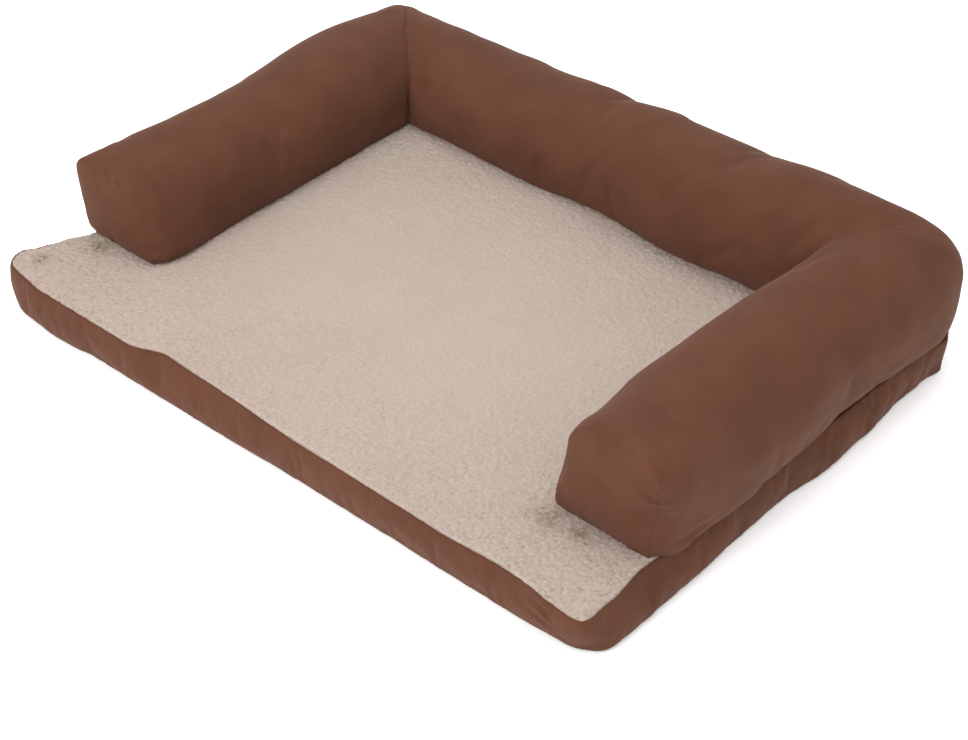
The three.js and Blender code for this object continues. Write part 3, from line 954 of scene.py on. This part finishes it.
def back_strip(name, node, zip_edge, seam_edge, material):
    """The wall beside the zip: folded under at the zip, and turned in at its seam with a panel."""
    way = 1 if seam_edge > zip_edge else -1
    outside, behind, edge_round = PAD_HIGH.y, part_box(node)[0].y, 0.6 * MM
    profile = [(behind, zip_edge + way * 8 * MM), (behind, zip_edge + way * 4 * MM)]
    profile += [(behind, zip_edge + way * edge_round), ((outside + behind) / 2, zip_edge)]
    profile += [(outside, height) for height in np.linspace(zip_edge + way * edge_round, seam_edge, 8)]
    profile += [(outside - 2 * MM, seam_edge), (outside - 6 * MM, seam_edge)]
    xs = np.linspace(-ZIP_END, ZIP_END, 181)
    points = np.array([(x, y, z) for y, z in profile for x in xs])
    faces = grid_faces(len(profile), len(xs), turned=True)
    if way < 0:
        faces = [face[::-1] for face in faces]
    piece = mesh_piece(name, points, faces)
    subdivide(piece)
    points = points_of(piece.data)
    from_end = smooth((ZIP_END - np.abs(points[:, 0])) / (25 * MM))
    from_seam = smooth(np.abs(points[:, 2] - seam_edge) / (6 * MM))
    shown = smooth((points[:, 1] - behind) / (outside - behind)) * from_end
    inside = shown * smooth(np.abs(points[:, 2] - zip_edge) / (9 * MM))
    lumps = lattice_noise(points, 60 * MM, 51) + 0.5 * lattice_noise(points, 16 * MM, 52)
    points[:, 1] += 1.3 * MM * (1.5 + lumps) * inside * from_seam
    set_points(piece.data, points)
    finish_piece(piece, material, (node,))


# ---- The fleece top ----

CURL = 7 * MM
CURL_HEIGHT = 3.2 * MM
FLEECE_STEP = 2.4 * MM
HIDDEN_STEP = 15 * MM
UNDER_BOLSTER = 14 * MM

# Where the pile is trodden flat and stained: X and Y from the pad's middle, and size, in millimetres.
MATTED = [(384, -270, 21), (433, -267, 14), (-516, -343, 14), (-478, -267, 15)]


def random_pair(cell, seed):
    """Two random values from 0 to 1 for each cell of a grid."""
    return scattered(cell, np.random.default_rng(seed).uniform(0, 1, (4096, 2)))


def curls(points, size, seed):
    """Rounded tufts of about size, from 0 in the gaps between them to 1 at their tops."""
    flat = points * np.array([1, 1, 0])
    warp = np.stack([lattice_noise(flat, 0.8 * size, seed + k) for k in (1, 2)], axis=1)
    place = points[:, :2] / size + 0.45 * warp
    cell = np.floor(place).astype(np.int64)
    near, next_near = np.full(len(points), 9.0), np.full(len(points), 9.0)
    for step in np.ndindex(3, 3):
        beside = cell + np.array(step) - 1
        distance = np.linalg.norm(place - beside - random_pair(beside, seed), axis=1)
        next_near = np.minimum(next_near, np.maximum(near, distance))
        near = np.minimum(near, distance)
    return np.clip((next_near - near) / 0.55, 0, 1) ** 0.6


def fleece_grid():
    """The grid's columns and rows, each point's X and Y, and which of them the bolster hides."""
    inner_x = ARM_AXIS_X - BOLSTER_HALF + UNDER_BOLSTER
    inner_y = BACK_AXIS_Y - PAD_MID_Y - BOLSTER_HALF + UNDER_BOLSTER
    front_y = ARM_FRONT_Y - PAD_MID_Y + UNDER_BOLSTER
    xs = np.linspace(-PAD_HALF_X, PAD_HALF_X, round(2 * PAD_HALF_X / FLEECE_STEP) + 1)
    ys = np.linspace(-PAD_HALF_Y, inner_y, round((PAD_HALF_Y + inner_y) / FLEECE_STEP) + 1)
    behind = np.linspace(inner_y, PAD_HALF_Y, round((PAD_HALF_Y - inner_y) / HIDDEN_STEP) + 1)[1:]
    ys = np.concatenate([ys, behind])
    x, y = (values.ravel() for values in np.meshgrid(xs, ys))
    hidden = ((np.abs(x) > inner_x) & (y > front_y)) | (y > inner_y)
    return xs, ys, x, y, hidden


def tuck_edges(points, x, y):
    """Turns the fleece down and in at its seam, except at the back. x and y are its places when flat."""
    from_side, from_front = PAD_HALF_X - np.abs(x), PAD_HALF_Y + y
    tucked = smooth(1 - np.minimum(from_side, from_front) / (4 * MM))
    points[:, 2] -= 5 * MM * tucked
    points[:, 0] -= 2.5 * MM * tucked * np.sign(points[:, 0]) * (from_side < 5 * MM)
    points[:, 1] += 2.5 * MM * tucked * (from_front < 5 * MM)


def matted_at(points):
    """How matted the pile is at each point, from 0 to 1."""
    ragged = 1 + 0.5 * lattice_noise(points, 7 * MM, 65)
    matted = np.zeros(len(points))
    for x, y, size in MATTED:
        away = np.hypot(points[:, 0] - x * MM, points[:, 1] - PAD_MID_Y - y * MM)
        matted = np.maximum(matted, fade(away * ragged, size * MM))
    return matted


def raise_pile(points, x, y, hidden):
    """Raises the pile where it shows. Returns what the paint reads: the painted shade between the tufts,
    and the matting.
    """
    hollow = 1.6 * MM * lattice_noise(points * np.array([1, 1, 0]), 130 * MM, 61)
    trodden = fade(np.hypot(x / 1.6, y + 60 * MM), 260 * MM)
    tufts = curls(points, CURL, 63)
    pile = tufts * (1 - 0.62 * trodden + 0.2 * lattice_noise(points, 30 * MM, 64))
    # Painted shade: darkest in the gaps between the tufts, less where the pile is trodden flat.
    shade = 1 - (1 - tufts) * (1 - 0.8 * trodden)
    matted = matted_at(points)
    points[:, 2] += ~hidden * (hollow + CURL_HEIGHT * pile * (1 - 0.35 * matted))
    return shade, matted * (0.9 + 0.4 * lattice_noise(points, 5 * MM, 66))


def fleece_form():
    """A grid bent to the pad's outline: fine where the pile shows, one flat face under the bolster."""
    xs, ys, x, y, hidden = fleece_grid()
    points = at_height(pad_grid(xs, ys, 14 * MM, TOP_EDGES, 70 * MM), FLEECE_BASE + 1.2 * MM)
    tuck_edges(points, x, y)
    shade, matted = raise_pile(points, x, y, hidden)
    faces, covered = [], []
    for face in grid_faces(len(ys), len(xs)):
        (covered if all(hidden[k] for k in face) else faces).append(face)
    piece = mesh_piece("fleece_top", points, faces + covered)
    # The pile attribute carries the painted shade between the curls.
    for name, values in (("pile", shade), ("matted", matted)):
        layer = piece.data.attributes.new(name, "FLOAT", "POINT")
        layer.data.foreach_set("value", values.astype(np.float32))
    join_flat_faces(piece, len(faces))
    return piece


def join_flat_faces(piece, first):
    """Makes one flat face of all the faces from the one with that number on."""
    shape = bmesh.new()
    shape.from_mesh(piece.data)
    shape.faces.ensure_lookup_table()
    bmesh.ops.dissolve_faces(shape, faces=shape.faces[first:], use_verts=False)
    shape.to_mesh(piece.data)
    shape.free()


def add_fleece(material):
    piece = fleece_form()
    finish_piece(piece, material, ("top_panel", "foam_core"))


def add_underside(material):
    xs = np.linspace(-PAD_HALF_X, PAD_HALF_X, 65)
    ys = np.linspace(-PAD_HALF_Y, PAD_HALF_Y, 47)
    plan = pad_grid(xs, ys, CORNER_RADIUS, BOTTOM_EDGES, 60 * MM)
    points = at_height(plan, WALL_BOTTOM)
    points[:, :2] -= (points[:, :2] - np.array([0, PAD_MID_Y])) * (5 * MM / PAD_HALF_X)
    sunk = smooth((PAD_HALF_X - np.abs(points[:, 0])) / (12 * MM))
    sunk = np.minimum(sunk, smooth((PAD_HALF_Y - np.abs(points[:, 1] - PAD_MID_Y)) / (12 * MM)))
    points[:, 2] -= sunk * (1.0 * MM + 0.3 * MM * lattice_noise(points, 35 * MM, 71))
    piece = mesh_piece("underside", points, grid_faces(len(ys), len(xs), turned=True))
    finish_piece(piece, material, ("bottom_panel",))


# ---- The zip and the care label ----

COIL_PITCH = 1.5 * MM
COIL_WIRE = 0.32 * MM


def tube(points, radius, sides):
    """Points and faces of a tube of few sides along a line of points."""
    points = np.array(points)
    ahead = np.gradient(points, axis=0)
    ahead /= np.linalg.norm(ahead, axis=1, keepdims=True)
    side = np.cross(ahead, (0.0, 0.3, 1.0))
    side /= np.linalg.norm(side, axis=1, keepdims=True)
    up = np.cross(side, ahead)
    rings = []
    for k in range(sides):
        angle = 2 * np.pi * k / sides
        rings.append(points + radius * (np.cos(angle) * side + np.sin(angle) * up))
    made = np.stack(rings, axis=1).reshape(-1, 3)
    faces = ring_faces(len(points), sides)
    last = (len(points) - 1) * sides
    faces.append(tuple(range(sides))[::-1])
    faces.append(tuple(last + k for k in range(sides)))
    return made, faces


def add_coil(node, name, hand, material):
    """One side of the zip's chain: a nylon wire wound in flattened turns."""
    low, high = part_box(node)
    middle = (low + high) / 2
    half_y = (high.y - low.y) / 2 - COIL_WIRE
    half_z = (high.z - low.z) / 2 - COIL_WIRE
    turns = int((high.x - low.x - 2 * COIL_WIRE) / COIL_PITCH)
    steps = 8
    angle = np.linspace(0, 2 * np.pi * turns, turns * steps + 1)
    points = np.column_stack([
        low.x + COIL_WIRE + angle / (2 * np.pi) * COIL_PITCH,
        middle.y + half_y * np.sin(angle),
        middle.z + hand * half_z * np.cos(angle),
    ])
    piece = mesh_piece(name, *tube(points, COIL_WIRE, 5))
    finish_piece(piece, material, (node,))


def add_zip_stitches(material):
    """Running stitches along both folded edges beside the zip."""
    stitch, gap, from_edge = 3 * MM, 1.2 * MM, 2.6 * MM
    points, faces = [], []
    starts = np.arange(-ZIP_END + 4 * MM, ZIP_END - 6 * MM, stitch + gap)
    for height in (LOWER_FOLD - from_edge, UPPER_FOLD + from_edge):
        for start in starts:
            share = np.linspace(0, 1, 4)
            arc = PAD_HIGH.y + (0.9 + 0.45 * np.sin(np.pi * share)) * MM
            line = np.column_stack([start + stitch * share, arc, np.full(4, height)])
            made, made_faces = tube(line, 0.28 * MM, 5)
            faces += [tuple(i + len(points) for i in face) for face in made_faces]
            points += list(made)
    piece = mesh_piece("zip_stitches", np.array(points), faces)
    finish_piece(piece, material)


def add_zip(tape, coil, metal, thread):
    for side, hand in (("lower", -1), ("upper", 1)):
        add_coil(f"zip_coil_{side}", f"coil_{side}", hand, coil)
        repaint(f"zip_tape_{side}", tape)
        repaint(f"zip_top_stop_{side}", metal, 0.35 * MM)
    repaint("zip_bottom_stop", metal, 0.35 * MM)
    repaint("zip_slider", metal, 0.25 * MM)
    repaint("zip_pull", metal, 0.3 * MM)
    add_zip_stitches(thread)


def repaint(node, material, rounding=0.0):
    """Gives a CAD node its finish, and eases its edges."""
    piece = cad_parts[node]
    piece.data.materials.clear()
    piece.data.materials.append(material)
    if rounding:
        bevel = piece.modifiers.new("eased_edges", "BEVEL")
        bevel.width = rounding
        bevel.segments = 2
        bevel.limit_method = "ANGLE"


def add_label(material):
    """A blank ribbon label, sewn in at its top, with its foot curling out a little."""
    low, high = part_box("care_label")
    columns, rows = 13, 19
    points = []
    for v in np.linspace(0, 1, rows):
        for u in np.linspace(0, 1, columns):
            curl = (0.6 + 5 * v**2 * (1 - u) ** 2 + 0.8 * v) * MM
            points.append((low.x + (high.x - low.x) * u, high.y + curl, high.z + (low.z - high.z) * v))
    piece = mesh_piece("blank_label", points, grid_faces(rows, columns))
    subdivide(piece)
    finish_piece(piece, material, ("care_label",))


def main():
    add_camera()
    add_studio()
    suede = microsuede()
    add_bolster(suede)
    add_walls(suede)
    back_strip("back_wall_lower", "back_gusset_lower", LOWER_FOLD, WALL_BOTTOM, suede)
    back_strip("back_wall_upper", "back_gusset_upper", UPPER_FOLD, WALL_TOP, suede)
    add_fleece(fleece())
    add_underside(woven("underside_cloth", (0.05, 0.032, 0.025), (0.065, 0.043, 0.033), 0.7 * MM, "Y"))
    tape = woven("zip_tape", (0.075, 0.038, 0.026), (0.095, 0.05, 0.034), 0.5 * MM)
    add_zip(tape, coil_nylon(), zip_metal(), tape)
    add_label(woven("label_ribbon", (0.78, 0.76, 0.72), (0.84, 0.82, 0.78), 0.4 * MM))


main()
